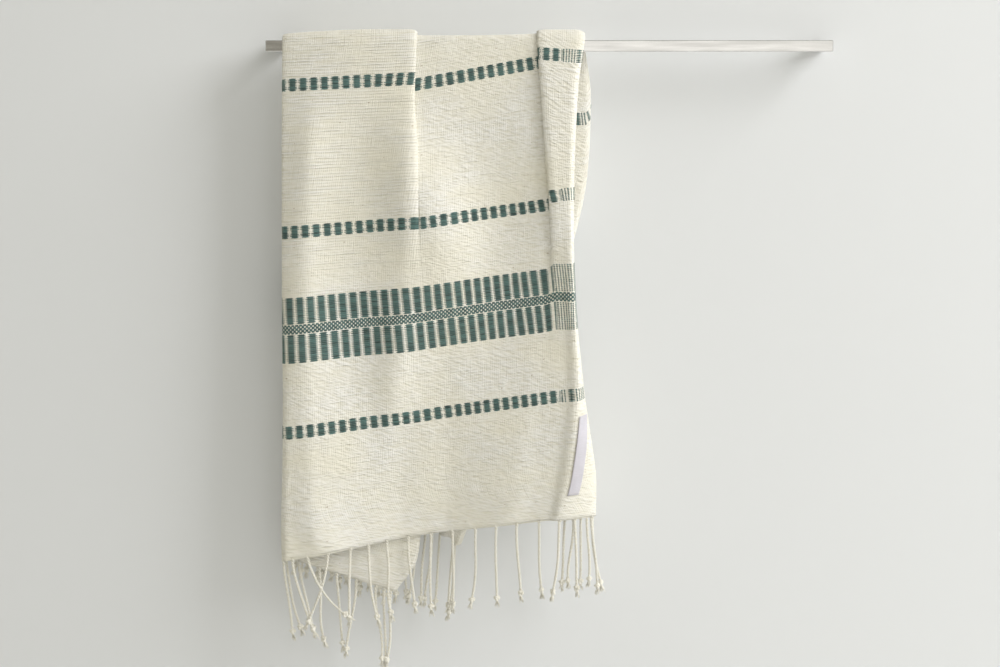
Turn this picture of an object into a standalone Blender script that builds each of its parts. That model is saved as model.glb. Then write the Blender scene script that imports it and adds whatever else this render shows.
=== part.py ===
"""Hand towel with knotted fringes, hung askew over a chrome bar handle.

Metres, +Z up. X runs along the bar, Y runs back to the door face at Y = 0, and the origin is the
centre of the left leg's foot. The section tables are in millimetres.
"""
import math
import random
from collections import namedtuple

import bmesh
import bpy
import numpy as np
from mathutils import Vector

MM = 0.001

# Bar handle
BAR_LEFT = -8.4
BAR_RIGHT = 442.8
BAR_HALF_HEIGHT = 4.5
BAR_FRONT = -38.0
BAR_BACK = -29.0
LEG_WIDTH = 8.8
LEG_HEIGHT = 8.4
LEG_PITCH = 435.4
GAP = 0.3
BAR_EDGE = 0.6

# Towel as woven
TOWEL_WIDTH = 420.0
CLOTH = 1.0
SEAT_DIP = 1.6
TURN_BACK = 3.2
TUCK_CREST = 5.0
TUCK_REACH = 6.0
TUCK_UNDER = 3.0
TUCK_SHARE = 0.3

# Fringe and label
BACKING_GAP = 0.4
BACKING_DROP = 2.8
CORD_ROOT = 1.8
CORD_LENGTH = 63.0
CORD_ASPECT = 1.8
# Share of the way down a cord and its size there, with the knot near its end
CORD_PROFILE = ((0.12, 1.0), (0.45, 1.0), (0.84, 1.0), (0.90, 2.3), (1.0, 0.9))
LABEL_FROM_RIDGE = 2.0
LABEL_WIDTH = 9.0
LABEL_LOW = 20.0
LABEL_HIGH = 84.0
LABEL_THICK = 1.0
LABEL_STAND = 1.3

# Points along one section of the cloth, from its inner edge round to its hidden end, and the
# number of faces between each and the next
POINTS = ("inner", "turn_in", "left", "turn_out", "start_1", "edge_1", "back_1", "end_1",
          "start_2", "back_2", "edge_2", "end_2", "ridge", "strip", "return", "end")
FACES = (8, 2, 2, 9, 1, 2, 2, 9, 2, 2, 1, 3, 3, 2, 8)
AT = {name: index for index, name in enumerate(POINTS)}

# Front drop: one row a level. v is the distance from the hem, x and z are places, lap is how far
# a tuck is folded over, and step is the change of height across it. Where end_x is FLAT, the
# hidden end lies flat and runs as far as the width allows
FLAT = None
Front = namedtuple("Front", "v inner_x inner_z left_x left_z tuck1_x tuck1_z step1 lap1 "
                            "tuck2_x tuck2_z step2 lap2 ridge_x ridge_z strip_x strip_z end_x end_z")
FRONT = (
    Front(0, 93.2, -439.6, 2.8, -411.6, 108.4, -393.2, 0.0, 0.0,
          210.8, -378.4, 0.0, 0.0, 223.6, -377.2, 254.0, -375.2, 227.6, -368.4),
    Front(35, 111.3, -411.6, 2.8, -376.4, 108.4, -358.0, 0.0, 0.0,
          216.0, -344.0, 0.0, 0.0, 232.8, -342.0, 253.6, -339.6, 222.8, -333.2),
    Front(102, 114.8, -345.2, 4.4, -308.4, 108.4, -296.4, 0.0, 0.0,
          223.0, -278.4, 0.0, 0.0, 239.6, -276.4, 244.8, -274.8, 206.0, -269.2),
    Front(181, 115.6, -266.0, 4.4, -226.0, 108.4, -216.4, 0.0, 0.0,
          222.0, -200.4, 2.0, 2.0, 235.6, -198.8, 237.6, -198.0, 172.0, -189.2),
    Front(262, 114.0, -185.2, 4.4, -148.4, 108.4, -140.4, -1.0, 3.5,
          216.4, -126.0, 6.5, 6.5, 233.2, -117.0, 236.4, -117.0, FLAT, -107.6),
    Front(350, 104.4, -96.6, 5.2, -56.6, 109.6, -51.0, -4.8, 8.0,
          210.0, -38.2, 7.0, 8.0, 236.4, -33.4, 239.6, -33.4, FLAT, -23.8),
    Front(404, 98.0, 4.5, 6.0, 4.5, 111.6, 4.5, 0.0, 8.0,
          207.6, 4.5, 0.0, 8.0, 240.6, 4.5, 244.8, 4.5, FLAT, 4.5),
)

# How far the cloth's middle stands out from the bar's front face, a row for each front level
Stand = namedtuple("Stand", "inner left_in left_out up_1 low_1 low_2 up_2 ridge strip turn end")
FRONT_STAND = (
    Stand(0.0, 0.6, 9.4, 12.5, 9.0, 12.6, 14.0, 15.5, 3.5, -3.0, -4.0),
    Stand(-1.0, 0.4, 9.0, 13.0, 8.0, 12.4, 14.0, 15.5, 4.0, -2.0, -3.0),
    Stand(-1.0, 0.4, 8.4, 12.5, 7.0, 11.0, 13.0, 15.0, 5.0, -1.0, -1.0),
    Stand(0.0, 0.6, 7.0, 11.5, 6.0, 9.0, 12.0, 12.8, 6.0, 1.0, 1.0),
    Stand(1.0, 1.2, 5.6, 9.6, 4.8, 6.6, 10.6, 10.6, 6.0, 2.0, 2.4),
    Stand(2.5, 2.5, 4.6, 8.8, 3.8, 4.9, 9.0, 8.4, 5.4, 2.6, 2.6),
    Stand(2.5, 2.5, 4.2, 8.2, 3.4, 4.6, 8.0, 7.6, 5.0, 2.5, 2.5),
)

# Back drop, gathered towards its hem. spread goes from the tucks' places to even ones
Back = namedtuple("Back", "inner_x inner_z left_x left_z ridge_x ridge_z strip_x strip_z end_x end_z "
                          "spread lap stand_inner stand_left stand_panel stand_strip stand_turn")
BACK = (
    Back(99.6, -43.0, 6.4, -43.0, 246.4, -43.0, 250.4, -43.0, FLAT, -43.0,
         0.0, 6.0, 2.5, 4.4, 7.4, 5.0, 2.5),
    Back(99.6, -135.0, 8.4, -135.0, 238.4, -135.0, 242.4, -135.0, FLAT, -135.0,
         0.5, 0.0, 1.5, 6.0, 10.0, 5.6, 2.5),
    Back(98.0, -262.0, 10.0, -258.0, 194.0, -262.0, 199.0, -262.0, 168.0, -258.0,
         1.0, 0.0, -1.5, 8.0, 12.0, 8.0, 1.5),
    Back(94.0, -326.8, 11.6, -366.0, 139.6, -398.8, 146.0, -403.6, 135.6, -395.6,
         1.0, 0.0, -2.5, 8.0, 12.4, 8.0, 2.0),
)
BACK_DROPS = (0.0, 48.0, 140.0, 265.0, 400.0)
BACK_WAVES = 6
END_WAVES = 2
SAMPLES = 16
FIRST_REACH = 60.0

FRONT_ROWS = (2, 3, 3, 3, 3, 2)
BAR_ARC_ROWS = 3
BACK_ROWS = (2, 3, 3, 4)

# Cords of each fringe: the stretch of the section that they hang from, the share of it at which each
# has its root, and each one's sideways lean and step out
CordGroup = namedtuple("CordGroup", "first last shares leans outs")
FRONT_CORDS = (
    CordGroup("inner", "left", (0.03, 0.09, 0.16, 0.33, 0.50, 0.65, 0.83, 0.94),
              (-3, 0, 6, -9, 6, 4, 14, 12), (0, 0, 0, 0, -4, 0, 0, -4)),
    CordGroup("left", "ridge", (0.02, 0.055, 0.11, 0.18, 0.26, 0.325, 0.39, 0.466, 0.546, 0.623,
                                0.706, 0.781, 0.854, 0.932),
              (9, 20, 36, -18, -2, 7, 4, 4, 0, 0, -3, -1, 2, 2), (0, 3, 7, 0, 4, 0, 0, 0, 0, 0, 0, 0, 0, 0)),
    CordGroup("ridge", "end", (0.02, 0.15, 0.30, 0.44, 0.56, 0.68, 0.80, 0.93),
              (-5, 3, 6, 6, 2, -1, -4, -5), (2, 1, 0, 0, 0, 0, 0, 0)),
)
BACK_CORDS = (
    CordGroup("inner", "left", tuple((index + 0.45) / 6 for index in range(6)), (0,) * 6, (0,) * 6),
    CordGroup("left", "end", tuple((index + 0.45) / 20 for index in range(20)), (-6,) * 20, (0,) * 20),
)
LENGTH_SPREAD = 2.5
SEED = 11


def material(name, colour, roughness, metallic):
    """A plain finish for one piece."""
    made = bpy.data.materials.new(name)
    made.use_nodes = True
    shader = made.node_tree.nodes["Principled BSDF"]
    shader.inputs["Base Color"].default_value = (*colour, 1.0)
    shader.inputs["Roughness"].default_value = roughness
    shader.inputs["Metallic"].default_value = metallic
    return made


def add_object(name, mesh_data, finish):
    """Turn a bmesh into a named object."""
    mesh = bpy.data.meshes.new(name)
    mesh_data.to_mesh(mesh)
    mesh_data.free()
    mesh.materials.append(finish)
    made = bpy.data.objects.new(name, mesh)
    bpy.context.scene.collection.objects.link(made)
    return made


def tuck_points(x, low, high, lap, outer_first):
    """The four points of a tuck, as place and stand, in the order that the cloth runs."""
    step = (high - low) * TUCK_SHARE
    if outer_first:
        return ((x - TUCK_CREST, high), (x, high - step), (x + TUCK_UNDER - lap, low + step),
                (x + TUCK_REACH, low))
    return ((x - TUCK_REACH, low), (x - TUCK_UNDER + lap, low + step), (x, high - step),
            (x + TUCK_CREST, high))


def front_points(level, stand):
    """Place, stand and height of every section point at one front level."""
    bulge = min(4.0, (stand.left_out - stand.left_in) * 0.6)
    turn = level.left_x + bulge
    first = tuck_points(level.tuck1_x, stand.low_1, stand.up_1, level.lap1, True)
    second = tuck_points(level.tuck2_x, stand.low_2, stand.up_2, level.lap2, False)
    plan = [(level.inner_x, stand.inner), (turn, stand.left_in),
            (level.left_x, (stand.left_in + stand.left_out) / 2), (turn, stand.left_out)]
    plan += [*first, *second, (level.ridge_x, stand.ridge), (level.strip_x, stand.strip),
             (level.strip_x - TURN_BACK, stand.turn), (level.end_x, stand.end)]
    drop_1 = (level.tuck1_z, level.tuck1_z, level.tuck1_z + level.step1, level.tuck1_z + level.step1)
    rise_2 = (level.tuck2_z, level.tuck2_z, level.tuck2_z + level.step2, level.tuck2_z + level.step2)
    heights = [level.inner_z, level.left_z, level.left_z, level.left_z, *drop_1, *rise_2,
               level.ridge_z, level.strip_z, level.strip_z, level.end_z]
    return [(x, out, z) for (x, out), z in zip(plan, heights)]


def back_points(level):
    """The same for one level of the back drop, where stand is measured behind the bar."""
    bulge = min(4.0, (level.stand_left - level.stand_inner) * 0.6)
    turn = level.left_x + bulge
    low = level.stand_panel - 3.6
    first = tuck_points(FRONT[-1].tuck1_x, low, level.stand_panel, level.lap, True)
    second = tuck_points(FRONT[-1].tuck2_x, low, level.stand_panel, level.lap, False)
    span = FACES[AT["turn_out"]:AT["ridge"]]
    plan = [(level.inner_x, level.stand_inner), (turn, level.stand_inner),
            (level.left_x, (level.stand_inner + level.stand_left) / 2), (turn, level.stand_left)]
    for index, (x, out) in enumerate([*first, *second]):
        share = sum(span[:index + 1]) / sum(span)
        even_x = turn + (level.ridge_x - turn) * share
        plan.append((x + (even_x - x) * level.spread, out + (level.stand_panel - out) * level.spread))
    plan += [(level.ridge_x, level.stand_panel), (level.strip_x, level.stand_strip),
             (level.strip_x - TURN_BACK, level.stand_turn), (level.end_x, level.stand_turn)]
    heights = [level.inner_z] + [level.left_z] * 3
    for x, _ in plan[AT["start_1"]:AT["ridge"]]:
        share = (x - turn) / (level.ridge_x - turn)
        heights.append(level.left_z + (level.ridge_z - level.left_z) * share)
    heights += [level.ridge_z, level.strip_z, level.strip_z, level.end_z]
    return [(x, out, z) for (x, out), z in zip(plan, heights)]


def smooth_run(plan):
    """Centripetal curve through the section points, as one array of samples a stretch."""
    points = [2 * plan[0] - plan[1], *plan, 2 * plan[-1] - plan[-2]]
    runs = []
    for index in range(1, len(points) - 2):
        p0, p1, p2, p3 = points[index - 1:index + 3]
        t1 = math.sqrt(np.linalg.norm(p1 - p0))
        t2 = t1 + math.sqrt(np.linalg.norm(p2 - p1))
        t3 = t2 + math.sqrt(np.linalg.norm(p3 - p2))
        t = np.linspace(t1, t2, SAMPLES)[:, None]
        a1 = (t1 - t) / t1 * p0 + t / t1 * p1
        a2 = (t2 - t) / (t2 - t1) * p1 + (t - t1) / (t2 - t1) * p2
        a3 = (t3 - t) / (t3 - t2) * p2 + (t - t2) / (t3 - t2) * p3
        b1 = (t2 - t) / t2 * a1 + t / t2 * a2
        b2 = (t3 - t) / (t3 - t1) * a2 + (t - t1) / (t3 - t1) * a3
        run = (t2 - t) / (t2 - t1) * b1 + (t - t1) / (t2 - t1) * b2
        run[:, 1] = np.clip(run[:, 1], min(p1[1], p2[1]), max(p1[1], p2[1]))
        runs.append(run)
    return runs


def run_lengths(runs):
    return [np.linalg.norm(np.diff(run, axis=0), axis=1).sum() for run in runs]


def with_waves(runs, depth, behind):
    """Fold the slack cloth into waves: the whole panel behind the bar, and the hidden end."""
    waved = [run.copy() for run in runs]
    if behind:
        first, last = AT["turn_out"], AT["ridge"]
        lengths = run_lengths(runs[first:last])
        total = sum(lengths)
        passed = 0.0
        for index in range(first, last):
            run = waved[index]
            steps = np.linalg.norm(np.diff(runs[index], axis=0), axis=1)
            share = (passed + np.concatenate([[0.0], np.cumsum(steps)])) / total
            fade = np.clip(np.minimum(share, 1.0 - share) * 10.0, 0.0, 1.0)
            run[:, 1] += depth * fade * np.sin(2 * math.pi * BACK_WAVES * share)
            passed += lengths[index - first]
        return waved
    run = waved[AT["return"]]
    share = np.linspace(0.0, 1.0, len(run))
    run[:, 1] -= depth * (1.0 - np.cos(2 * math.pi * END_WAVES * share))
    return waved


def section(points, behind, fineness):
    """One section: x, stand, height and the distance along the cloth, at every column."""
    flat = points[-1][0] is FLAT
    turn_x = points[AT["return"]][0]
    plan = [np.array(point[:2]) for point in points[:-1]]
    plan.append(np.array([turn_x - FIRST_REACH if flat else points[-1][0], points[-1][1]]))
    runs = smooth_run(plan)
    if flat:
        plan[-1][0] -= TOWEL_WIDTH - sum(run_lengths(runs))
        runs = smooth_run(plan)
    low, high = 0.0, 16.0
    if not flat and sum(run_lengths(runs)) < TOWEL_WIDTH:
        for _ in range(30):
            middle = (low + high) / 2
            if sum(run_lengths(with_waves(runs, middle, behind))) < TOWEL_WIDTH:
                low = middle
            else:
                high = middle
        runs = with_waves(runs, low, behind)
    columns = []
    passed = 0.0
    for index, (run, faces) in enumerate(zip(runs, FACES)):
        steps = np.linalg.norm(np.diff(run, axis=0), axis=1)
        along = np.concatenate([[0.0], np.cumsum(steps)])
        count = faces * fineness
        wanted = np.linspace(0.0, along[-1], count + 1)
        if index < len(FACES) - 1:
            wanted = wanted[:-1]
        share = wanted / along[-1]
        height = points[index][2] + (points[index + 1][2] - points[index][2]) * share
        columns.append(np.stack([np.interp(wanted, along, run[:, 0]),
                                 np.interp(wanted, along, run[:, 1]), height,
                                 passed + wanted], axis=1))
        passed += along[-1]
    return np.concatenate(columns)


def between(levels, places, steps):
    """Smooth rows from level to level, leaving out the last level."""
    slopes = []
    for index in range(len(levels)):
        before, after = max(index - 1, 0), min(index + 1, len(levels) - 1)
        slopes.append((levels[after] - levels[before]) / (places[after] - places[before]))
    rows = []
    for index, count in enumerate(steps):
        gap = places[index + 1] - places[index]
        for step in range(count):
            t = step / count
            rows.append((2 * t ** 3 - 3 * t ** 2 + 1) * levels[index]
                        + (t ** 3 - 2 * t ** 2 + t) * gap * slopes[index]
                        + (3 * t ** 2 - 2 * t ** 3) * levels[index + 1]
                        + (t ** 3 - t ** 2) * gap * slopes[index + 1])
    return rows


def placed(rows, face, outward):
    """Turn x, stand and height into points, for the front or the back of the bar."""
    return [np.stack([row[:, 0], face + outward * row[:, 1], row[:, 2]], axis=1) for row in rows]


def drape(fineness=1):
    """The towel's middle surface: an array of rows by columns, from front hem to back hem."""
    front = [section(front_points(level, stand), False, fineness)
             for level, stand in zip(FRONT, FRONT_STAND)]
    back = [section(back_points(level), True, fineness) for level in BACK]
    front_rows = between(front, [level.v for level in FRONT],
                         [count * fineness for count in FRONT_ROWS])
    top = front[-1]
    back_rows = between([top, *back], BACK_DROPS, [count * fineness for count in BACK_ROWS])
    back_rows.append(back[-1])
    rows = placed(front_rows, BAR_FRONT, -1.0)
    count = BAR_ARC_ROWS * fineness
    for step in range(count):
        turn = math.pi / 2 * step / count
        rows.append(np.stack([top[:, 0], BAR_FRONT - top[:, 1] * math.cos(turn),
                              BAR_HALF_HEIGHT + top[:, 1] * math.sin(turn)], axis=1))
    inner = np.arange(len(top)) <= sum(FACES[:AT["turn_in"]]) * fineness
    for step in range(2 * fineness):
        share = step / (2 * fineness)
        dip = SEAT_DIP * math.sin(math.pi * share) * inner
        rows.append(np.stack([top[:, 0], np.full(len(top), BAR_FRONT + (BAR_BACK - BAR_FRONT) * share),
                              BAR_HALF_HEIGHT + top[:, 1] - dip], axis=1))
    for step in range(count):
        turn = math.pi / 2 * (1.0 - step / count)
        rows.append(np.stack([top[:, 0], BAR_BACK + top[:, 1] * math.cos(turn),
                              BAR_HALF_HEIGHT + top[:, 1] * math.sin(turn)], axis=1))
    rows += placed(back_rows, BAR_BACK, 1.0)
    return np.array(rows)


def towel_solid(surface, finish):
    """The draped sheet, one millimetre thick."""
    shape = bmesh.new()
    rows = [[shape.verts.new(Vector(point) * MM) for point in row] for row in surface]
    for low, high in zip(rows, rows[1:]):
        for index in range(len(low) - 1):
            shape.faces.new((low[index], low[index + 1], high[index + 1], high[index]))
    towel = add_object("towel", shape, finish)
    towel.data.shade_smooth()
    wall = towel.modifiers.new("Thickness", "SOLIDIFY")
    wall.thickness = CLOTH * MM
    wall.offset = 0.0
    return towel


def hem_line(edge, inside):
    """Points, downward and outward directions along a hem, with the distance along it."""
    steps = np.linalg.norm(np.diff(edge, axis=0), axis=1)
    along = np.concatenate([[0.0], np.cumsum(steps)])
    down = edge - inside
    down /= np.linalg.norm(down, axis=1)[:, None]
    run = np.gradient(edge, along, axis=0)
    out = np.cross(down, run)
    out /= np.linalg.norm(out, axis=1)[:, None]
    return along, down, out


def cord_places(groups, along):
    """Where each cord starts along the hem, with its lean and its step out."""
    marks = np.concatenate([[0], np.cumsum(FACES)])
    places = []
    for group in groups:
        start = along[marks[AT[group.first]]]
        end = along[marks[AT[group.last]]]
        for share, lean, out in zip(group.shares, group.leans, group.outs):
            places.append((start + (end - start) * share, lean, out))
    return places


def fringe_solid(name, edge, inside, groups, outward, finish):
    """A narrow backing strip just under the hem, with a cord grown from it at each place."""
    draws = random.Random(SEED)
    along, down, out = hem_line(edge, inside)
    places = cord_places(groups, along)
    half = CORD_ROOT / 2
    stops = [0.0, along[-1], *[s - half for s, _, _ in places], *[s + half for s, _, _ in places]]
    stops += [s for s in along[1:-1] if all(abs(s - place[0]) > half + GAP for place in places)]
    stops.sort()

    def at(values, stop):
        return Vector([np.interp(stop, along, values[:, axis]) for axis in range(3)])

    shape = bmesh.new()
    rings = []
    for stop in stops:
        base, fall, side = at(edge, stop), at(down, stop).normalized(), at(out, stop).normalized()
        ring = [base + fall * BACKING_GAP + side * CLOTH / 2, base + fall * BACKING_GAP - side * CLOTH / 2,
                base + fall * BACKING_DROP - side * CLOTH / 2,
                base + fall * BACKING_DROP + side * CLOTH / 2]
        rings.append([shape.verts.new(point * MM) for point in ring])
    lower = {}
    for index, (one, two) in enumerate(zip(rings, rings[1:])):
        for corner in range(4):
            after = (corner + 1) % 4
            face = shape.faces.new((one[corner], two[corner], two[after], one[after]))
            if corner == 2:
                lower[index] = face
    shape.faces.new(rings[0][::-1])
    shape.faces.new(rings[-1])
    shape.normal_update()
    for place, lean, step_out in places:
        face = lower[stops.index(place - half)]
        start = face.calc_center_median()
        side = at(out, place).normalized()
        length = CORD_LENGTH + draws.uniform(-LENGTH_SPREAD, LENGTH_SPREAD)
        corners = [(corner.co - start) for corner in face.verts]
        for share, scale in CORD_PROFILE:
            drop = math.sqrt(max(length ** 2 - lean ** 2, 1.0)) * share
            shift = Vector((lean * share ** 1.4, outward * step_out * math.sin(math.pi * share), -drop)) * MM
            grown = bmesh.ops.extrude_face_region(shape, geom=[face])["geom"]
            bmesh.ops.delete(shape, geom=[face], context="FACES_ONLY")
            face = [item for item in grown if isinstance(item, bmesh.types.BMFace)][0]
            for corner, offset in zip(face.verts, corners):
                flat = Vector((offset.x, offset.y, 0.0))
                across = side * flat.dot(side)
                corner.co = start + shift + (flat - across) * scale + across * scale * CORD_ASPECT
    bmesh.ops.recalc_face_normals(shape, faces=shape.faces)
    return add_object(name, shape, finish)


def label_solid(surface, finish):
    """A bare tape on the turned-back strip, standing just off the cloth."""
    marks = np.concatenate([[0], np.cumsum(FACES)])
    first = marks[AT["ridge"]]
    last = marks[AT["return"]]
    row_v = []
    for index, count in enumerate(FRONT_ROWS):
        gap = FRONT[index + 1].v - FRONT[index].v
        row_v += [FRONT[index].v + gap * step / count for step in range(count)]
    stops = [LABEL_LOW, *[v for v in row_v if LABEL_LOW + 1 < v < LABEL_HIGH - 1], LABEL_HIGH]
    shape = bmesh.new()
    rings = []
    for stop in stops:
        row = int(np.searchsorted(row_v, stop, side="right")) - 1
        share = (stop - row_v[row]) / (row_v[row + 1] - row_v[row])
        line = surface[row, first:last + 1] * (1 - share) + surface[row + 1, first:last + 1] * share
        steps = np.linalg.norm(np.diff(line, axis=0), axis=1)
        along = np.concatenate([[0.0], np.cumsum(steps)])
        across = []
        for share in (0.0, 0.5, 1.0):
            distance = LABEL_FROM_RIDGE + LABEL_WIDTH * share
            across.append(Vector([np.interp(distance, along, line[:, axis]) for axis in range(3)]))
        side = (across[2] - across[0]).cross(Vector((0.0, 0.0, 1.0))).normalized()
        near = [point + side * LABEL_STAND for point in across]
        far = [point + side * (LABEL_STAND + LABEL_THICK) for point in across]
        rings.append([shape.verts.new(point * MM) for point in near + far[::-1]])
    for one, two in zip(rings, rings[1:]):
        for corner in range(len(one)):
            after = (corner + 1) % len(one)
            shape.faces.new((one[corner], two[corner], two[after], one[after]))
    shape.faces.new(rings[0][::-1])
    shape.faces.new(rings[-1])
    bmesh.ops.recalc_face_normals(shape, faces=shape.faces)
    return add_object("label", shape, finish)


def block(name, low, high, edge, finish):
    """A box between two corners, with its long edges eased."""
    shape = bmesh.new()
    bmesh.ops.create_cube(shape, size=1.0)
    for corner in shape.verts:
        corner.co = Vector([(low[axis] if corner.co[axis] < 0 else high[axis]) * MM for axis in range(3)])
    if edge:
        bmesh.ops.bevel(shape, geom=shape.edges[:], offset=edge * MM, segments=1, profile=0.5,
                        affect="EDGES", material=-1)
    return add_object(name, shape, finish)


def bar_handle(finish):
    """The bar and its two legs."""
    block("bar", (BAR_LEFT, BAR_FRONT, -BAR_HALF_HEIGHT), (BAR_RIGHT, BAR_BACK, BAR_HALF_HEIGHT),
          BAR_EDGE, finish)
    for name, middle in (("leg_left", 0.0), ("leg_right", LEG_PITCH)):
        block(name, (middle - LEG_WIDTH / 2, BAR_BACK + GAP, -LEG_HEIGHT / 2),
              (middle + LEG_WIDTH / 2, 0.0, LEG_HEIGHT / 2), 0.0, finish)


def main():
    for old in list(bpy.data.objects):
        bpy.data.objects.remove(old)
    cotton = material("cotton", (0.74, 0.70, 0.58), 0.9, 0.0)
    yarn = material("yarn", (0.70, 0.65, 0.52), 0.9, 0.0)
    tape = material("tape", (0.80, 0.79, 0.84), 0.7, 0.0)
    chrome = material("chrome", (0.78, 0.77, 0.76), 0.12, 1.0)
    surface = drape()
    towel_solid(surface, cotton)
    fringe_solid("fringe_front", surface[0], surface[1], FRONT_CORDS, -1.0, yarn)
    fringe_solid("fringe_back", surface[-1], surface[-2], BACK_CORDS, 1.0, yarn)
    label_solid(surface, tape)
    bar_handle(chrome)


main()
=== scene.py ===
"""Looks of a hand towel that hangs over a chrome bar handle.

The towel's folds repeat the section tables of the model, in millimetres, and everything is then
placed in metres in the model's own frame: X along the bar, Z up, the door face at Y = 0.
"""

import math
import random
from collections import namedtuple

import bmesh
import bpy
import numpy as np
from bpy.props import FloatProperty, FloatVectorProperty, IntProperty, PointerProperty
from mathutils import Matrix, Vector, noise


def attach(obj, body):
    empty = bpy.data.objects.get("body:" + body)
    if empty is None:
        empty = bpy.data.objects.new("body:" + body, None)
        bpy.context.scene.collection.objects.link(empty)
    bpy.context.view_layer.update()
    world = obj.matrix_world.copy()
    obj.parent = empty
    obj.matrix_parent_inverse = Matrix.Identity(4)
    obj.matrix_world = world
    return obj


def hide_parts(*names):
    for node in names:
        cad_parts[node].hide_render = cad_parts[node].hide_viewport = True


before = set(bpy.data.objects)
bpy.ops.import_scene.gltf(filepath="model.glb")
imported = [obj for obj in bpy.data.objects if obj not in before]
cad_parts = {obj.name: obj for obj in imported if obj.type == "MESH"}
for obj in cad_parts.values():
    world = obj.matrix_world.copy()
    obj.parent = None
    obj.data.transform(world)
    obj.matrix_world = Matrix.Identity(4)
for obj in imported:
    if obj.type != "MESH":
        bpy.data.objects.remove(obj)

bl_info = {
    "name": "Hand towel on a bar handle",
    "version": (1, 0, 0),
    "blender": (4, 5, 0),
    "location": "View3D > Sidebar > Towel",
    "description": "Woven towel with block stripes, knotted fringes and a bare label, on its bar",
    "category": "Add Mesh",
}

MM = 0.001
SEED = 5

# Bar handle, for the cloth's path over it
BAR_HALF_HEIGHT = 4.5
BAR_FRONT = -38.0
BAR_BACK = -29.0

# Towel as woven, in millimetres
TOWEL_WIDTH = 420.0
TOWEL_LENGTH = 845.0
SEAT_DIP = 1.6
TURN_BACK = 3.2
TUCK_CREST = 5.0
TUCK_REACH = 6.0
TUCK_UNDER = 3.0
TUCK_SHARE = 0.3
BACK_TUCK_DEPTH = 3.6
LINE_LEVEL = 350.0
BULGE_MOST = 4.0
BULGE_SHARE = 0.6

# A tuck that laps less than this opens into a slope, which reaches out by up to SOFT_REACH. Its
# crests move by these shares of it, and its hidden side by SOFT_UNDER
FULL_LAP = 8.0
SOFT_REACH = 20.0
SOFT_CRESTS = (0.2, 0.1)
SOFT_UNDER = 0.4

# Points along one section of the cloth, from its inner edge round to its hidden end, and the
# number of faces between each and the next
POINTS = ("inner", "turn_in", "left", "turn_out", "start_1", "edge_1", "back_1", "end_1",
          "start_2", "back_2", "edge_2", "end_2", "ridge", "strip", "return", "end")
FACES = (8, 2, 2, 9, 1, 2, 2, 9, 2, 2, 1, 3, 3, 2, 8)
AT = {name: index for index, name in enumerate(POINTS)}
MARKS = np.concatenate([[0], np.cumsum(FACES)])
FLAT = None

# Front drop: one row a level. v is the distance from the hem, x and z are places, lap is how far
# a tuck is folded over, and step is the change of height across it
Front = namedtuple("Front", "v inner_x inner_z left_x left_z tuck1_x tuck1_z step1 lap1 "
                            "tuck2_x tuck2_z step2 lap2 ridge_x ridge_z strip_x strip_z end_x end_z")
FRONT = (
    Front(0, 93.2, -439.6, 2.8, -411.6, 108.4, -393.2, 0.0, 0.0,
          210.8, -378.4, 0.0, 0.0, 223.6, -377.2, 254.0, -375.2, 227.6, -375.0),
    Front(35, 111.3, -411.6, 2.8, -376.4, 108.4, -358.0, 0.0, 0.0,
          216.0, -344.0, 0.0, 0.0, 232.8, -342.0, 253.6, -339.6, 222.8, -338.0),
    Front(102, 114.8, -345.2, 4.4, -308.4, 108.4, -296.4, 0.0, 0.0,
          223.0, -278.4, 0.0, 0.0, 239.6, -276.4, 244.8, -274.8, 206.0, -269.2),
    Front(181, 115.6, -266.0, 4.4, -226.0, 108.4, -216.4, 0.0, 0.0,
          222.0, -200.4, 2.0, 2.0, 235.6, -198.8, 237.6, -198.0, 172.0, -189.2),
    Front(262, 114.0, -185.2, 4.4, -148.4, 108.4, -140.4, -1.0, 3.5,
          216.4, -126.0, 6.5, 6.5, 233.2, -117.0, 236.4, -117.0, FLAT, -107.6),
    Front(350, 104.4, -96.6, 5.2, -56.6, 109.6, -51.0, -4.8, 8.0,
          210.0, -38.2, 7.0, 8.0, 236.4, -33.4, 239.6, -33.4, FLAT, -23.8),
    Front(404, 98.0, 4.5, 6.0, 4.5, 111.6, 4.5, 0.0, 8.0,
          207.6, 4.5, 0.0, 8.0, 240.6, 4.5, 244.8, 4.5, FLAT, 4.5),
)

# How far the cloth's middle stands out from the bar's front face, a row for each front level
Stand = namedtuple("Stand", "inner left_in left_out up_1 low_1 low_2 up_2 ridge strip turn end")
FRONT_STAND = (
    Stand(0.0, 0.6, 13.0, 3.6, 4.0, 15.0, 18.0, 22.0, 11.0, 0.0, -4.0),
    Stand(-1.0, 0.4, 12.5, 3.8, 3.8, 15.0, 18.0, 22.0, 11.0, 0.0, -3.0),
    Stand(-1.0, 0.4, 11.5, 5.0, 3.6, 13.5, 17.0, 20.0, 10.5, 0.5, -1.0),
    Stand(0.0, 0.6, 8.8, 10.0, 5.0, 10.0, 14.5, 16.5, 7.5, 1.0, 1.0),
    Stand(1.0, 1.2, 5.6, 9.6, 4.8, 6.6, 13.0, 13.0, 7.0, -1.0, -3.0),
    Stand(2.5, 2.5, 4.6, 8.8, 3.8, 4.9, 11.5, 11.0, 6.4, 1.6, 1.2),
    Stand(2.5, 2.5, 4.2, 8.2, 3.4, 4.6, 8.0, 7.6, 5.0, 2.5, 2.5),
)

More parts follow.
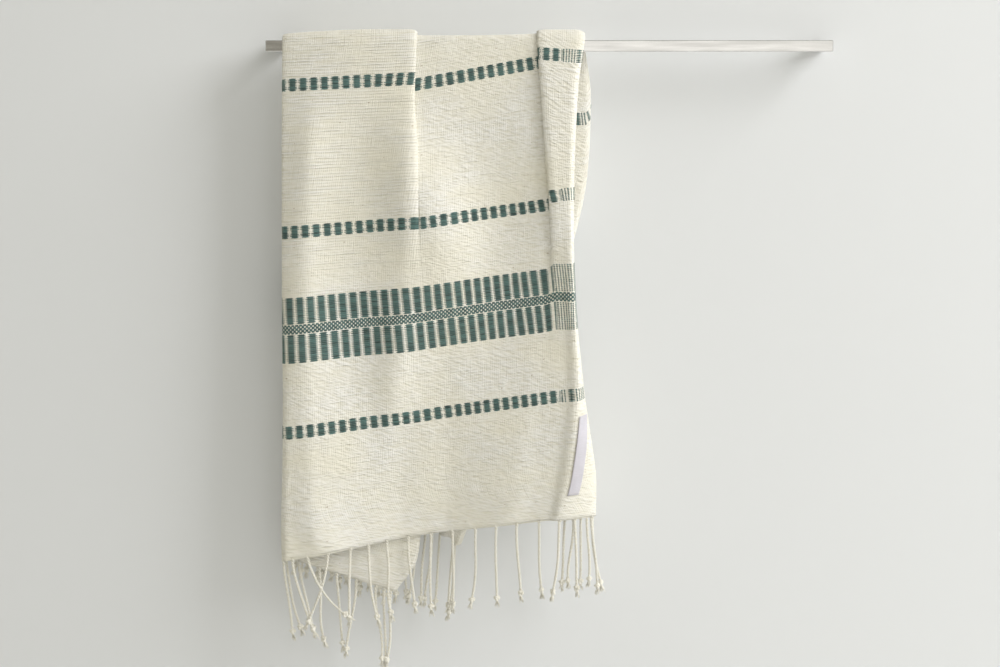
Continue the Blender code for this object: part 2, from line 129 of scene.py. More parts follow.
# Back drop, gathered towards its hem. spread goes from the tucks' places to even ones
Back = namedtuple("Back", "inner_x inner_z left_x left_z ridge_x ridge_z strip_x strip_z end_x end_z "
                          "spread lap stand_inner stand_left stand_panel stand_strip stand_turn")
BACK = (
    Back(99.6, -43.0, 6.4, -43.0, 246.4, -43.0, 250.4, -43.0, FLAT, -43.0,
         0.0, 6.0, 2.5, 4.4, 7.4, 5.0, 2.5),
    Back(99.6, -135.0, 8.4, -135.0, 238.4, -135.0, 242.4, -135.0, FLAT, -135.0,
         0.5, 0.0, 1.5, 6.0, 10.0, 5.6, 2.5),
    Back(98.0, -262.0, 10.0, -258.0, 194.0, -262.0, 199.0, -262.0, 168.0, -258.0,
         1.0, 0.0, -1.5, 8.0, 12.0, 8.0, 1.5),
    Back(94.0, -326.8, 11.6, -366.0, 139.6, -398.8, 146.0, -403.6, 135.6, -395.6,
         1.0, 0.0, -2.5, 8.0, 12.4, 8.0, 2.0),
)
BACK_DROPS = (0.0, 48.0, 140.0, 265.0, 400.0)

# Waves that take up the slack: how many there are, how high one may be, how many halvings find
# its height, and how fast they begin at the panel's sides
BACK_WAVES = 6
END_WAVES = 2
WAVE_MOST = 16.0
WAVE_TRIES = 30
WAVE_FADE = 10.0
SAMPLES = 16
FIRST_REACH = 60.0

FRONT_ROWS = (2, 3, 3, 3, 3, 2)
BAR_ARC_ROWS = 3
BAR_TOP_ROWS = 2
BACK_ROWS = (2, 3, 3, 4)

# Cords of each fringe: the stretch of the section that they hang from, the share of it at which each
# has its root, and each one's sideways lean and step out
CordGroup = namedtuple("CordGroup", "first last shares leans outs")
FRONT_CORDS = (
    CordGroup("inner", "left", (0.03, 0.09, 0.16, 0.33, 0.50, 0.65, 0.83, 0.94),
              (-3, 0, 6, -9, 6, 4, 14, 12), (0, 0, 0, 0, -4, 0, 0, -4)),
    CordGroup("left", "ridge", (0.02, 0.055, 0.11, 0.18, 0.26, 0.325, 0.39, 0.466, 0.546, 0.623,
                                0.706, 0.781, 0.854, 0.932),
              (9, 20, 36, -18, -2, 7, 4, 4, 0, 0, -3, -1, 2, 2),
              (0, 3, 7, 0, 4, 0, 0, 0, 0, 0, 0, 0, 0, 0)),
    CordGroup("ridge", "end", (0.02, 0.15, 0.30, 0.44, 0.56, 0.68, 0.80, 0.93),
              (-5, 3, 6, 6, 2, -1, -4, -5), (2, 1, 0, 0, 0, 0, 0, 0)),
)
BACK_CORDS = tuple(
    CordGroup(first, last, tuple((index + 0.45) / count for index in range(count)),
              (lean,) * count, (0,) * count)
    for first, last, count, lean in (("inner", "left", 6, 0), ("left", "end", 20, -6)))
CORD_SEED = 11
CORD_DRAWS = 20
LENGTH_SPREAD = 2.5
BACKING_START = 1.6
CORD_INSIDE = 0.8
PATH_POINTS = 64
BOW = (0.8, 2.2)
SIDE_BOW = 0.6
SWAYS = ((3.0, 6.5), (3.0, 6.0))
SIDE_PHASE = 1.7
BOW_GROWTH = 0.8
LEAN_GROWTH = 1.4

# Plies of a cord: points along one, sides, how far its middle is from the cord's in its own radii,
# and how much wider the two stand at the hem, down to GATHER_LENGTH
PLY_POINTS = 74
PLY_SIDES = 5
PLY_APART = 0.86
PLY_UNEVEN = (0.93, 1.07)
GATHER = 0.9
GATHER_LENGTH = 2.2

# Knot and tuft at a cord's end
KNOT_SHARE = 0.895
KNOT_POINTS = 30
KNOT_SIZE = 0.60
KNOT_RADIUS = 1.1
HAIRS = 18
HAIR_POINTS = 5
HAIR_SIDES = 3
HAIR_RADII = (0.30, 0.52)
HAIR_SPLAY = 2.3
HAIR_REACH = (0.7, 1.15)
HAIR_CURL = 1.3

# Woven stripes on each half, as distances from its hem. A stripe has rows of blocks, made of dyed
# wefts at these distances from its middle, each with its share of the block's width
SMALL_ROWS = ((0.66, 0.84), (1.98, 1.09), (3.30, 1.05), (4.55, 0.80))
BAND_ROWS = tuple((5.0 + 1.47 * index, 0.90 if index in (0, 14) else 1.07) for index in range(15))
SMALL_HALF = 4.6
BAND_INNER = 4.2
BAND_OUTER = 26.3
SPECKLE_HALF = 3.7
SPECKLE_PITCH = 3.2
SPECKLE_STEP = 1.6
SPECKLE_LENGTH = 2.45
SPECKLE_ROWS = 2
SPECKLE_STARTS = (0.8, 0.3)
SPECKLE_MISSED = 0.08
SPECKLE_UNEVEN = (-0.35, 0.25)
SPECKLE_MASK_SHIFT = -1.9
SPECKLE_MASK = (0.22, 0.5)
SPECKLE_DEPTH = 0.95
DASH_PITCH = 2.2
DASH_WIDTH = 1.25

# The blocks stop short of the edge, where narrow dashes take over: from dash_from to dash_to, then one
# block, then pale dashes on the turned-back strip
Stripe = namedtuple("Stripe", "middle rows half dash_from dash_to strip_from strip_to")
STRIPES = (
    Stripe(102.0, SMALL_ROWS, SMALL_HALF, 341.0, 346.0, 353.0, 363.0),
    Stripe(181.0, BAND_ROWS, BAND_OUTER, 335.0, 347.5, 347.6, 364.0),
    Stripe(262.0, SMALL_ROWS, SMALL_HALF, 341.5, 350.5, 355.5, 365.0),
    Stripe(375.0, SMALL_ROWS, SMALL_HALF, 340.0, 350.0, 356.0, 365.0),
)

BAND = 1

# How many blocks have been passed at a distance across the cloth, and a block's share of the pitch
BLOCK_STOPS = ((0.0, 255.0, 420.0), (0.0, 30.0, 51.6))
BLOCK_SHARE = 0.78
BLOCK_CORE = 0.12
GAP_PHASE = 0.88
LAST_BLOCK = 1.0

# How far blocks follow the warp where it leans: the step that shows the lean, the most of it, the
# faces over which it is evened out, and the share of it that is made good
LEAN_STEP = 3.0
LEAN_MOST = 0.6
LEAN_FACES = 4
UPRIGHT = 0.85

# Floats of dyed weft: margins they keep, how unevenly they end, and the lone block before the strip
EDGE_MARGIN = 1.0
STRIP_MARGIN = 0.6
FLOAT_OVER = 0.25
FLOAT_UNEVEN = 0.15
LONE_GAP = 3.0
LONE_START = 0.7
LONE_END = 0.9
LENS = (0.0, 0.14, 0.5, 0.86, 1.0)
SHORT_LENS = (0.0, 0.5, 1.0)
LONG_FLOAT = 3.0
LENS_ENDS = (0.05, 0.95)
LENS_POWER = 0.55
FLOAT_SUNK = 0.3
RISE_STEP = 0.5

# Soft folds of the front panel that the section tables are too coarse for: a half width, then levels
# of distance from the hem, distance across the cloth and height
FRONT_FOLDS = (
    (18.0, ((0, 138, 3.0), (60, 133, 3.6), (130, 127, 4.0), (230, 124, 4.6), (330, 120, 4.2),
            (400, 118, 0.6))),
    (28.0, ((0, 205, -1.0), (60, 196, -1.5), (130, 178, -4.0), (230, 174, -5.0), (330, 168, -4.2),
            (400, 162, -0.5))),
    (28.0, ((120, 250, 0.0), (180, 246, 3.0), (238, 238, 8.0), (278, 225, 8.0), (317, 207, 6.0),
            (345, 200, 2.4), (380, 200, 0.0))),
    (30.0, ((60, 300, 0.0), (150, 292, -2.4), (232, 288, -4.6), (272, 282, -4.6), (312, 270, -3.6),
            (360, 260, -0.8), (390, 260, 0.0))),
    (14.0, ((40, 202, 0.0), (90, 204, 1.8), (128, 205, 3.4), (170, 207, 2.6), (215, 200, 0.0))),
)
FOLDS_FROM = 12.0
FOLDS_GROW = 60.0
FOLDS_FADE = 2.0

# Hand-woven unevenness: each wave's length across and along, its layer of the noise and its height,
# and the share of it that is left on the folded edges
UNEVEN = ((55.0, 38.0, 0.0, 0.7), (26.0, 8.0, 5.0, 0.3))
UNEVEN_EDGES = 0.35

# Label, in millimetres
LABEL_FROM_RIDGE = 2.0
LABEL_WIDTH = 9.0
LABEL_LOW = 20.0
LABEL_HIGH = 84.0
LABEL_STAND = 0.75
LABEL_THICK = 0.35
LABEL_LOOSE = 0.9
LABEL_HELD = 0.4
LABEL_COLUMNS = 10
LABEL_ROWS = 48
STITCHES = 5
STITCH_FROM = 0.08
STITCH_LENGTH = 0.12
STITCH_PITCH = 0.18
STITCH_LIFT = 0.3
STITCH_RISE = 0.2
STITCH_RADIUS = 0.2

# Grains of the finishes: how many times a metre each repeats along its three ways, and its detail
Grain = namedtuple("Grain", "scale detail")
SLUB = Grain((70.0, 520.0, 1.0), 3.0)
STREAK = Grain((22.0, 300.0, 1.0), 3.0)
WARP = Grain((760.0, 90.0, 1.0), 2.0)
CLOUDY = Grain((14.0, 20.0, 1.0), 3.0)
THICK = Grain((38.0, 210.0, 1.0), 1.0)
FLECK = Grain((330.0, 700.0, 1.0), 0.0)
CRINKLE = Grain((95.0, 480.0, 1.0), 1.5)
WEFT_FIBRE = Grain((600.0, 600.0, 2400.0), 2.0)
YARN_FIBRE = Grain((1500.0, 1500.0, 500.0), 2.0)
TAPE_RIB = Grain((300.0, 300.0, 2600.0), 1.0)
TAPE_CLOUD = Grain((120.0, 120.0, 90.0), 2.0)
WIPE = Grain((22.0, 160.0, 260.0), 3.0)

# Cotton: its ribs and threads in millimetres, where it crinkles in metres, and what each adds to
# the height of the weave
RIB_PITCH = 2.3
RIB_SWAY = 4.5
RIB_SLANT = 42.0
THREAD_PITCH = 1.6
CRINKLE_SLANT = 0.42
CRINKLED_UP_TO = (0.18, 0.26)
CRINKLED_FROM = (0.205, 0.235)
CRINKLE_HEIGHT = 0.75
CRINKLED_RIB = -0.55
RIB_HEIGHT = 0.62
SLUB_HEIGHT = 1.1
WARP_HEIGHT = 0.45
THREAD_HEIGHT = 0.10
STREAK_HEIGHT = 0.55
WARM_TINT = (0.965, 0.94, 0.84)
FLECK_COLOUR = (0.30, 0.21, 0.11)
DYE_SHARE = 0.9
CHROME_DARK = (0.57, 0.56, 0.55)
CHROME_LIGHT = (0.72, 0.71, 0.70)

# Camera, lights and stage, in metres and watts. The photo's horizon lies above its middle, which a
# slight downward look and a slight shift take up together
CAMERA_AT = (0.178, -1.70, -0.052)
CAMERA_DOWN = math.radians(3.9)
CAMERA_LENS = 75.0
CAMERA_SHIFT = -0.08
Light = namedtuple("Light", "name place target size power colour")
LIGHTS = (
    Light("key", (2.9, -1.2, 1.6), (0.15, 0.0, -0.12), 2.0, 97.0, (0.99, 0.99, 1.0)),
    Light("fill", (1.3, -1.8, 1.2), (0.15, 0.0, -0.25), 1.6, 4.0, (1.0, 0.98, 0.93)),
    Light("card", (0.55, -2.1, 0.12), (0.35, 0.0, 0.0), 1.2, 4.0, (1.0, 1.0, 0.99)),
    Light("rear", (0.5, 1.7, 0.5), (0.15, 0.0, -0.25), 1.2, 14.0, (1.0, 1.0, 1.0)),
)
WALL_AT = 0.0006
WALL_HALF = 3.0
WALL_TOP = 1.6
WALL_PAINT = (0.77, 0.785, 0.80)
FLOOR_AT = -0.75
FLOOR_HALF = 4.0
FLOOR_PAINT = (0.78, 0.78, 0.76)
ROOM_COLOUR = (0.98, 0.94, 0.79)
ROOM_STRENGTH = 0.39


class TowelSettings(bpy.types.PropertyGroup):
    """Sizes and colours that a user would change."""

    thickness: FloatProperty(name="Thickness", description="Thickness of the cloth",
                             default=1.0 * MM, min=0.0, unit="LENGTH")
    fineness: IntProperty(name="Fineness", description="Faces of the cloth for each of the model's",
                          default=4, min=1, max=5)
    float_width: FloatProperty(name="Float width", description="Thickness of a dyed weft",
                               default=1.30 * MM, unit="LENGTH")
    float_height: FloatProperty(name="Float height", description="Height of a dyed weft on the cloth",
                                default=0.42 * MM, unit="LENGTH")
    cord_length: FloatProperty(name="Cord length", description="Length of a fringe cord",
                               default=63.0 * MM, unit="LENGTH")
    ply_radius: FloatProperty(name="Ply radius", description="Radius of each of a cord's two plies",
                              default=0.70 * MM, unit="LENGTH")
    twist_pitch: FloatProperty(name="Twist pitch", description="Length of one turn of a cord",
                               default=5.2 * MM, unit="LENGTH")
    cream: FloatVectorProperty(name="Cream", description="Undyed cotton", size=3, subtype="COLOR",
                               default=(0.875, 0.862, 0.82), min=0.0, max=1.0)
    # Painted shading: the cotton and the fringe yarn darken to this colour where their weave or twist is
    # low, standing in for the shading in those gaps.
    painted_shade: FloatVectorProperty(name="Shade", description="Cotton between the threads", size=3,
                               subtype="COLOR", default=(0.70, 0.67, 0.555), min=0.0, max=1.0)
    teal: FloatVectorProperty(name="Teal", description="Dyed weft", size=3, subtype="COLOR",
                              default=(0.075, 0.145, 0.135), min=0.0, max=1.0)
    tape: FloatVectorProperty(name="Tape", description="Label tape", size=3, subtype="COLOR",
                              default=(0.66, 0.64, 0.70), min=0.0, max=1.0)


def unit(vectors):
    """Directions of length one."""
    return vectors / np.maximum(np.linalg.norm(vectors, axis=-1, keepdims=True), 1e-12)


def passed_along(path):
    """The distance passed at each point of a path."""
    return np.concatenate([[0.0], np.cumsum(np.linalg.norm(np.diff(path, axis=0), axis=1))])


def read_off(place, along, table):
    """Every column of a table at one place along it, or at several."""
    return np.stack([np.interp(place, along, column) for column in table.T], axis=-1)


def tuck_points(x, low, high, lap, outer_first):
    """The four points of a tuck, as place and stand, in the order that the cloth runs.

    A tuck that no longer laps opens into a soft slope.
    """
    step = (high - low) * TUCK_SHARE
    soft = SOFT_REACH * max(1.0 - lap / FULL_LAP, 0.0)
    if outer_first:
        return ((x - TUCK_CREST - soft * SOFT_CRESTS[0], high), (x, high - step),
                (x + TUCK_UNDER - lap + soft * SOFT_UNDER, low + step), (x + TUCK_REACH + soft, low))
    return ((x - TUCK_REACH - soft, low), (x - TUCK_UNDER + lap - soft * SOFT_UNDER, low + step),
            (x, high - step), (x + TUCK_CREST + soft * SOFT_CRESTS[1], high))


def left_turn(left_x, inner, outer):
    """The points where the cloth turns round at its left edge, between two stands."""
    turn = left_x + min(BULGE_MOST, (outer - inner) * BULGE_SHARE)
    return turn, [(turn, inner), (left_x, (inner + outer) / 2), (turn, outer)]


def front_points(level, stand):
    """Place, stand and height of every section point at one front level."""
    first = tuck_points(level.tuck1_x, stand.low_1, stand.up_1, level.lap1, True)
    second = tuck_points(level.tuck2_x, stand.low_2, stand.up_2, level.lap2, False)
    _, left = left_turn(level.left_x, stand.left_in, stand.left_out)
    plan = [(level.inner_x, stand.inner), *left, *first, *second, (level.ridge_x, stand.ridge),
            (level.strip_x, stand.strip), (level.strip_x - TURN_BACK, stand.turn),
            (level.end_x, stand.end)]
    rises = (((level.left_x, level.left_z), (level.tuck1_x, level.tuck1_z)),
             ((level.tuck1_x, level.tuck1_z + level.step1), (level.tuck2_x, level.tuck2_z)),
             ((level.tuck2_x, level.tuck2_z + level.step2), (level.ridge_x, level.ridge_z)))
    heights = [level.inner_z, level.left_z, level.left_z, level.left_z]
    for (x, _), part in zip((*first, *second), (0, 0, 1, 1, 1, 1, 2, 2)):
        (low_x, low_z), (high_x, high_z) = rises[part]
        heights.append(low_z + (high_z - low_z) * (x - low_x) / (high_x - low_x))
    heights += [level.ridge_z, level.strip_z, level.strip_z, level.end_z]
    return [(x, out, z) for (x, out), z in zip(plan, heights)]


def back_points(level):
    """The same for one level of the back drop, where stand is measured behind the bar."""
    turn, left = left_turn(level.left_x, level.stand_inner, level.stand_left)
    low = level.stand_panel - BACK_TUCK_DEPTH
    first = tuck_points(FRONT[-1].tuck1_x, low, level.stand_panel, level.lap, True)
    second = tuck_points(FRONT[-1].tuck2_x, low, level.stand_panel, level.lap, False)
    span = FACES[AT["turn_out"]:AT["ridge"]]
    plan = [(level.inner_x, level.stand_inner), *left]
    for index, (x, out) in enumerate([*first, *second]):
        share = sum(span[:index + 1]) / sum(span)
        even_x = turn + (level.ridge_x - turn) * share
        plan.append((x + (even_x - x) * level.spread, out + (level.stand_panel - out) * level.spread))
    plan += [(level.ridge_x, level.stand_panel), (level.strip_x, level.stand_strip),
             (level.strip_x - TURN_BACK, level.stand_turn), (level.end_x, level.stand_turn)]
    heights = [level.inner_z] + [level.left_z] * 3
    for x, _ in plan[AT["start_1"]:AT["ridge"]]:
        share = (x - turn) / (level.ridge_x - turn)
        heights.append(level.left_z + (level.ridge_z - level.left_z) * share)
    heights += [level.ridge_z, level.strip_z, level.strip_z, level.end_z]
    return [(x, out, z) for (x, out), z in zip(plan, heights)]


def smooth_run(plan):
    """Centripetal curve through the section points, as one array of samples a stretch."""
    points = [2 * plan[0] - plan[1], *plan, 2 * plan[-1] - plan[-2]]
    runs = []
    for index in range(1, len(points) - 2):
        p0, p1, p2, p3 = points[index - 1:index + 3]
        t1 = math.sqrt(np.linalg.norm(p1 - p0))
        t2 = t1 + math.sqrt(np.linalg.norm(p2 - p1))
        t3 = t2 + math.sqrt(np.linalg.norm(p3 - p2))
        t = np.linspace(t1, t2, SAMPLES)[:, None]
        a1 = (t1 - t) / t1 * p0 + t / t1 * p1
        a2 = (t2 - t) / (t2 - t1) * p1 + (t - t1) / (t2 - t1) * p2
        a3 = (t3 - t) / (t3 - t2) * p2 + (t - t2) / (t3 - t2) * p3
        b1 = (t2 - t) / t2 * a1 + t / t2 * a2
        b2 = (t3 - t) / (t3 - t1) * a2 + (t - t1) / (t3 - t1) * a3
        run = (t2 - t) / (t2 - t1) * b1 + (t - t1) / (t2 - t1) * b2
        run[:, 1] = np.clip(run[:, 1], min(p1[1], p2[1]), max(p1[1], p2[1]))
        runs.append(run)
    return runs


def run_lengths(runs):
    """The length of each stretch of a section."""
    return [np.linalg.norm(np.diff(run, axis=0), axis=1).sum() for run in runs]


def with_waves(runs, depth, behind):
    """Fold the slack cloth into waves: the whole panel behind the bar, and the hidden end."""
    waved = [run.copy() for run in runs]
    if behind:
        first, last = AT["turn_out"], AT["ridge"]
        lengths = run_lengths(runs[first:last])
        total = sum(lengths)
        passed = 0.0
        for index in range(first, last):
            share = (passed + passed_along(runs[index])) / total
            fade = np.clip(np.minimum(share, 1.0 - share) * WAVE_FADE, 0.0, 1.0)
            waved[index][:, 1] += depth * fade * np.sin(2 * math.pi * BACK_WAVES * share)
            passed += lengths[index - first]
        return waved
    run = waved[AT["return"]]
    share = np.linspace(0.0, 1.0, len(run))
    run[:, 1] -= depth * (1.0 - np.cos(2 * math.pi * END_WAVES * share))
    return waved


def section(points, behind, fineness):
    """One section: x, stand, height and the distance along the cloth, at every column."""
    flat = points[-1][0] is FLAT
    turn_x = points[AT["return"]][0]
    plan = [np.array(point[:2]) for point in points[:-1]]
    plan.append(np.array([turn_x - FIRST_REACH if flat else points[-1][0], points[-1][1]]))
    runs = smooth_run(plan)
    if flat:
        plan[-1][0] -= TOWEL_WIDTH - sum(run_lengths(runs))
        runs = smooth_run(plan)
    low, high = 0.0, WAVE_MOST
    if not flat and sum(run_lengths(runs)) < TOWEL_WIDTH:
        for _ in range(WAVE_TRIES):
            middle = (low + high) / 2
            if sum(run_lengths(with_waves(runs, middle, behind))) < TOWEL_WIDTH:
                low = middle
            else:
                high = middle
        runs = with_waves(runs, low, behind)
    columns = []
    passed = 0.0
    for index, (run, faces) in enumerate(zip(runs, FACES)):
        along = passed_along(run)
        wanted = np.linspace(0.0, along[-1], faces * fineness + 1)
        if index < len(FACES) - 1:
            wanted = wanted[:-1]
        share = wanted / along[-1]
        height = points[index][2] + (points[index + 1][2] - points[index][2]) * share
        columns.append(np.column_stack([read_off(wanted, along, run), height, passed + wanted]))
        passed += along[-1]
    return np.concatenate(columns)


def between(levels, places, steps):
    """Smooth rows from level to level, leaving out the last level."""
    slopes = []
    for index in range(len(levels)):
        before, after = max(index - 1, 0), min(index + 1, len(levels) - 1)
        slopes.append((levels[after] - levels[before]) / (places[after] - places[before]))
    rows = []
    for index, count in enumerate(steps):
        gap = places[index + 1] - places[index]
        for step in range(count):
            t = step / count
            rows.append((2 * t ** 3 - 3 * t ** 2 + 1) * levels[index]
                        + (t ** 3 - 2 * t ** 2 + t) * gap * slopes[index]
                        + (3 * t ** 2 - 2 * t ** 3) * levels[index + 1]
                        + (t ** 3 - t ** 2) * gap * slopes[index + 1])
    return rows


class Cloth:
    """The towel's middle surface: places, outward directions and cloth distances, in metres."""

    def __init__(self, fineness):
        self.fineness = fineness
        front = [section(front_points(level, stand), False, fineness)
                 for level, stand in zip(FRONT, FRONT_STAND)]
        back = [section(back_points(level), True, fineness) for level in BACK]
        top = front[-1]
        front_v = [np.full(len(top), float(level.v)) for level in FRONT]
        front_v[-1] = LINE_LEVEL + BAR_HALF_HEIGHT - front[-2][:, 2]
        front = [np.column_stack([level, v]) for level, v in zip(front, front_v)]
        rows = between(front, [level.v for level in FRONT], [count * fineness for count in FRONT_ROWS])
        points = [np.stack([row[:, 0], BAR_FRONT - row[:, 1], row[:, 2]], axis=1) for row in rows]
        across = [row[:, 3] for row in rows]
        up = [row[:, 4] for row in rows]
        self.bar_row = len(rows)
        points += self.over_bar(top, fineness)
        behind = between([top, *back], BACK_DROPS, [count * fineness for count in BACK_ROWS])
        behind.append(back[-1])
        points += [np.stack([row[:, 0], BAR_BACK + row[:, 1], row[:, 2]], axis=1) for row in behind]
        across += [top[:, 3]] * (len(points) - len(behind) - len(across))
        across += [row[:, 3] for row in behind]
        places = np.array(points)
        steps = np.linalg.norm(np.diff(places[self.bar_row:], axis=0), axis=2)
        passed = np.concatenate([np.zeros((1, len(top))), np.cumsum(steps, axis=0)])
        rest = front_v[-1] + passed / passed[-1] * (TOWEL_LENGTH - front_v[-1])
        self.v = np.concatenate([np.array(up), rest]) * MM
        self.u = np.array(across) * MM
        self.points = places * MM
        self.relax()
        self.normals = self.outward()
        self.warp_leans = self.leans()

    def over_bar(self, top, fineness):
        """Rows from the bar's front top edge to its back one."""
        count, flat_count = BAR_ARC_ROWS * fineness, BAR_TOP_ROWS * fineness
        inner = np.arange(len(top)) <= MARKS[AT["turn_in"]] * fineness

        def arc_row(edge, outward, share):
            turn = math.pi / 2 * share
            return np.stack([top[:, 0], edge + outward * top[:, 1] * math.cos(turn),
                             BAR_HALF_HEIGHT + top[:, 1] * math.sin(turn)], axis=1)

        rows = [arc_row(BAR_FRONT, -1.0, step / count) for step in range(count)]
        for step in range(flat_count):
            share = step / flat_count
            dip = SEAT_DIP * math.sin(math.pi * share) * inner
            depth = np.full(len(top), BAR_FRONT + (BAR_BACK - BAR_FRONT) * share)
            rows.append(np.stack([top[:, 0], depth, BAR_HALF_HEIGHT + top[:, 1] - dip], axis=1))
        return rows + [arc_row(BAR_BACK, 1.0, 1.0 - step / count) for step in range(count)]

    def outward(self):
        """Unit directions on the cloth's right side."""
        along = np.gradient(self.points, axis=1)
        up = np.gradient(self.points, axis=0)
        return unit(np.cross(along, up))

    def relax(self):
        """Add the soft folds and a hand-woven unevenness to the plain surface."""
        normals = self.outward()
        u, v = self.u / MM, self.v / MM
        lift = np.zeros_like(u)
        for half, levels in FRONT_FOLDS:
            stops, across, heights = zip(*levels)
            middle = np.interp(v, stops, across)
            lift += np.interp(v, stops, heights) * np.exp(-((u - middle) / half) ** 2)
        uneven = np.zeros_like(u)
        for row in range(u.shape[0]):
            for column in range(u.shape[1]):
                for wide, long, layer, height in UNEVEN:
                    place = Vector((u[row, column] / wide, v[row, column] / long, layer))
                    uneven[row, column] += height * noise.noise(place)
        columns = np.arange(u.shape[1])
        first, last = MARKS[AT["turn_out"]] * self.fineness, MARKS[AT["ridge"]] * self.fineness
        panel = np.clip(np.minimum(columns - first, last - columns) / (FOLDS_FADE * self.fineness), 0, 1)
        drop = np.clip((-self.points[:, :, 2] / MM - FOLDS_FROM) / FOLDS_GROW, 0.0, 1.0)
        front = np.arange(u.shape[0])[:, None] < self.bar_row
        lift = lift * drop * panel * front
        lift += uneven * drop * (UNEVEN_EDGES + (1.0 - UNEVEN_EDGES) * panel)
        self.points += normals * lift[:, :, None] * MM

    def leans(self):
        """How far the warp leans at each half's stripes, as cross distances and leans."""
        found = []
        for behind in (False, True):
            rows = []
            for stripe in STRIPES:
                places, _, across = self.line(self.from_hem(stripe.middle, behind))
                ahead, _, across_ahead = self.line(self.from_hem(stripe.middle + LEAN_STEP, behind))
                level = read_off(across, across_ahead, ahead)
                along = unit(np.gradient(places, axis=0))
                lean = ((level - places) * along).sum(axis=1) / (LEAN_STEP * MM)
                width = LEAN_FACES * self.fineness
                padded = np.pad(np.clip(lean, -LEAN_MOST, LEAN_MOST), width, mode="edge")
                smooth = np.convolve(padded, np.ones(2 * width + 1) / (2 * width + 1), mode="valid")
                rows.append((across / MM, smooth * UPRIGHT))
            found.append(rows)
        return found

    def from_hem(self, v, behind):
        """A distance from one half's own hem as a distance along the whole cloth, in metres."""
        return (TOWEL_LENGTH - v if behind else v) * MM

    def phases(self):
        """The block pattern's phase at every point of the cloth."""
        u, v = self.u / MM, self.v / MM
        behind = v > TOWEL_LENGTH / 2
        from_hem = np.where(behind, TOWEL_LENGTH - v, v)
        nearest = np.argmin([np.abs(from_hem - stripe.middle) for stripe in STRIPES], axis=0)
        phase = np.zeros_like(u)
        for half, rows in enumerate(self.warp_leans):
            for index, (stripe, (across, lean)) in enumerate(zip(STRIPES, rows)):
                here = (behind == bool(half)) & (nearest == index)
                offset = np.clip(from_hem[here] - stripe.middle, -BAND_OUTER, BAND_OUTER)
                upright = u[here] + np.interp(u[here], across, lean) * offset
                value = np.interp(upright, *BLOCK_STOPS)
                value[upright > stripe.dash_from - LAST_BLOCK] = math.floor(value.max()) + GAP_PHASE
                phase[here] = value
        return phase

    def line(self, v):
        """Places, outward directions and cross distances of the line at one distance from the hem."""
        places = np.empty((self.points.shape[1], 3))
        out = np.empty_like(places)
        across = np.empty(len(places))
        for column in range(len(places)):
            heights = self.v[:, column]
            across[column] = np.interp(v, heights, self.u[:, column])
            places[column] = read_off(v, heights, self.points[:, column])
            out[column] = read_off(v, heights, self.normals[:, column])
        return places, unit(out), across


def add_object(name, mesh, finish):
    """Link a finished piece, riding on the one body."""
    mesh.materials.append(finish)
    made = bpy.data.objects.new(name, mesh)
    bpy.context.scene.collection.objects.link(made)
    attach(made, "root")
    return made


def finished_mesh(name, shape):
    """A mesh from a bmesh, which is freed."""
    mesh = bpy.data.meshes.new(name)
    shape.to_mesh(mesh)
    shape.free()
    mesh.shade_smooth()
    return mesh


def thicken(sheet, thickness):
    """Give a sheet its thickness, half to each side."""
    wall = sheet.modifiers.new("Thickness", "SOLIDIFY")
    wall.thickness = thickness
    wall.offset = 0.0


class Bundle:
    """Many small closed shapes on the way to one joined mesh."""

    def __init__(self):
        self.places = []
        self.faces = []
        self.count = 0

    def keep(self, places, faces):
        """Take in a shape, whose faces count from its own first point."""
        self.faces += [tuple(self.count + corner for corner in face) for face in faces]
        self.places.append(places)
        self.count += len(places)

    def mesh(self, name, tones=None):
        """One mesh of all the shapes, with a tone for each point where tones are given."""
        mesh = bpy.data.meshes.new(name)
        mesh.from_pydata(np.concatenate(self.places).tolist(), [], self.faces)
        if tones is not None:
            tone = mesh.attributes.new("tone", "FLOAT", "POINT")
            tone.data.foreach_set("value", np.asarray(tones, dtype=np.float32))
        mesh.shade_smooth()
        mesh.update()
        return mesh


def facing_out(mesh):
    """Turn every closed shape of a mesh the right way round."""
    shape = bmesh.new()
    shape.from_mesh(mesh)
    bmesh.ops.recalc_face_normals(shape, faces=shape.faces)
    shape.to_mesh(mesh)
    shape.free()
    return mesh


def tinted(colour, *tints):
    """A colour made lighter or darker, by one tint or by one for each channel."""
    return tuple(channel * tint for channel, tint in zip(colour, tints * (3 // len(tints))))


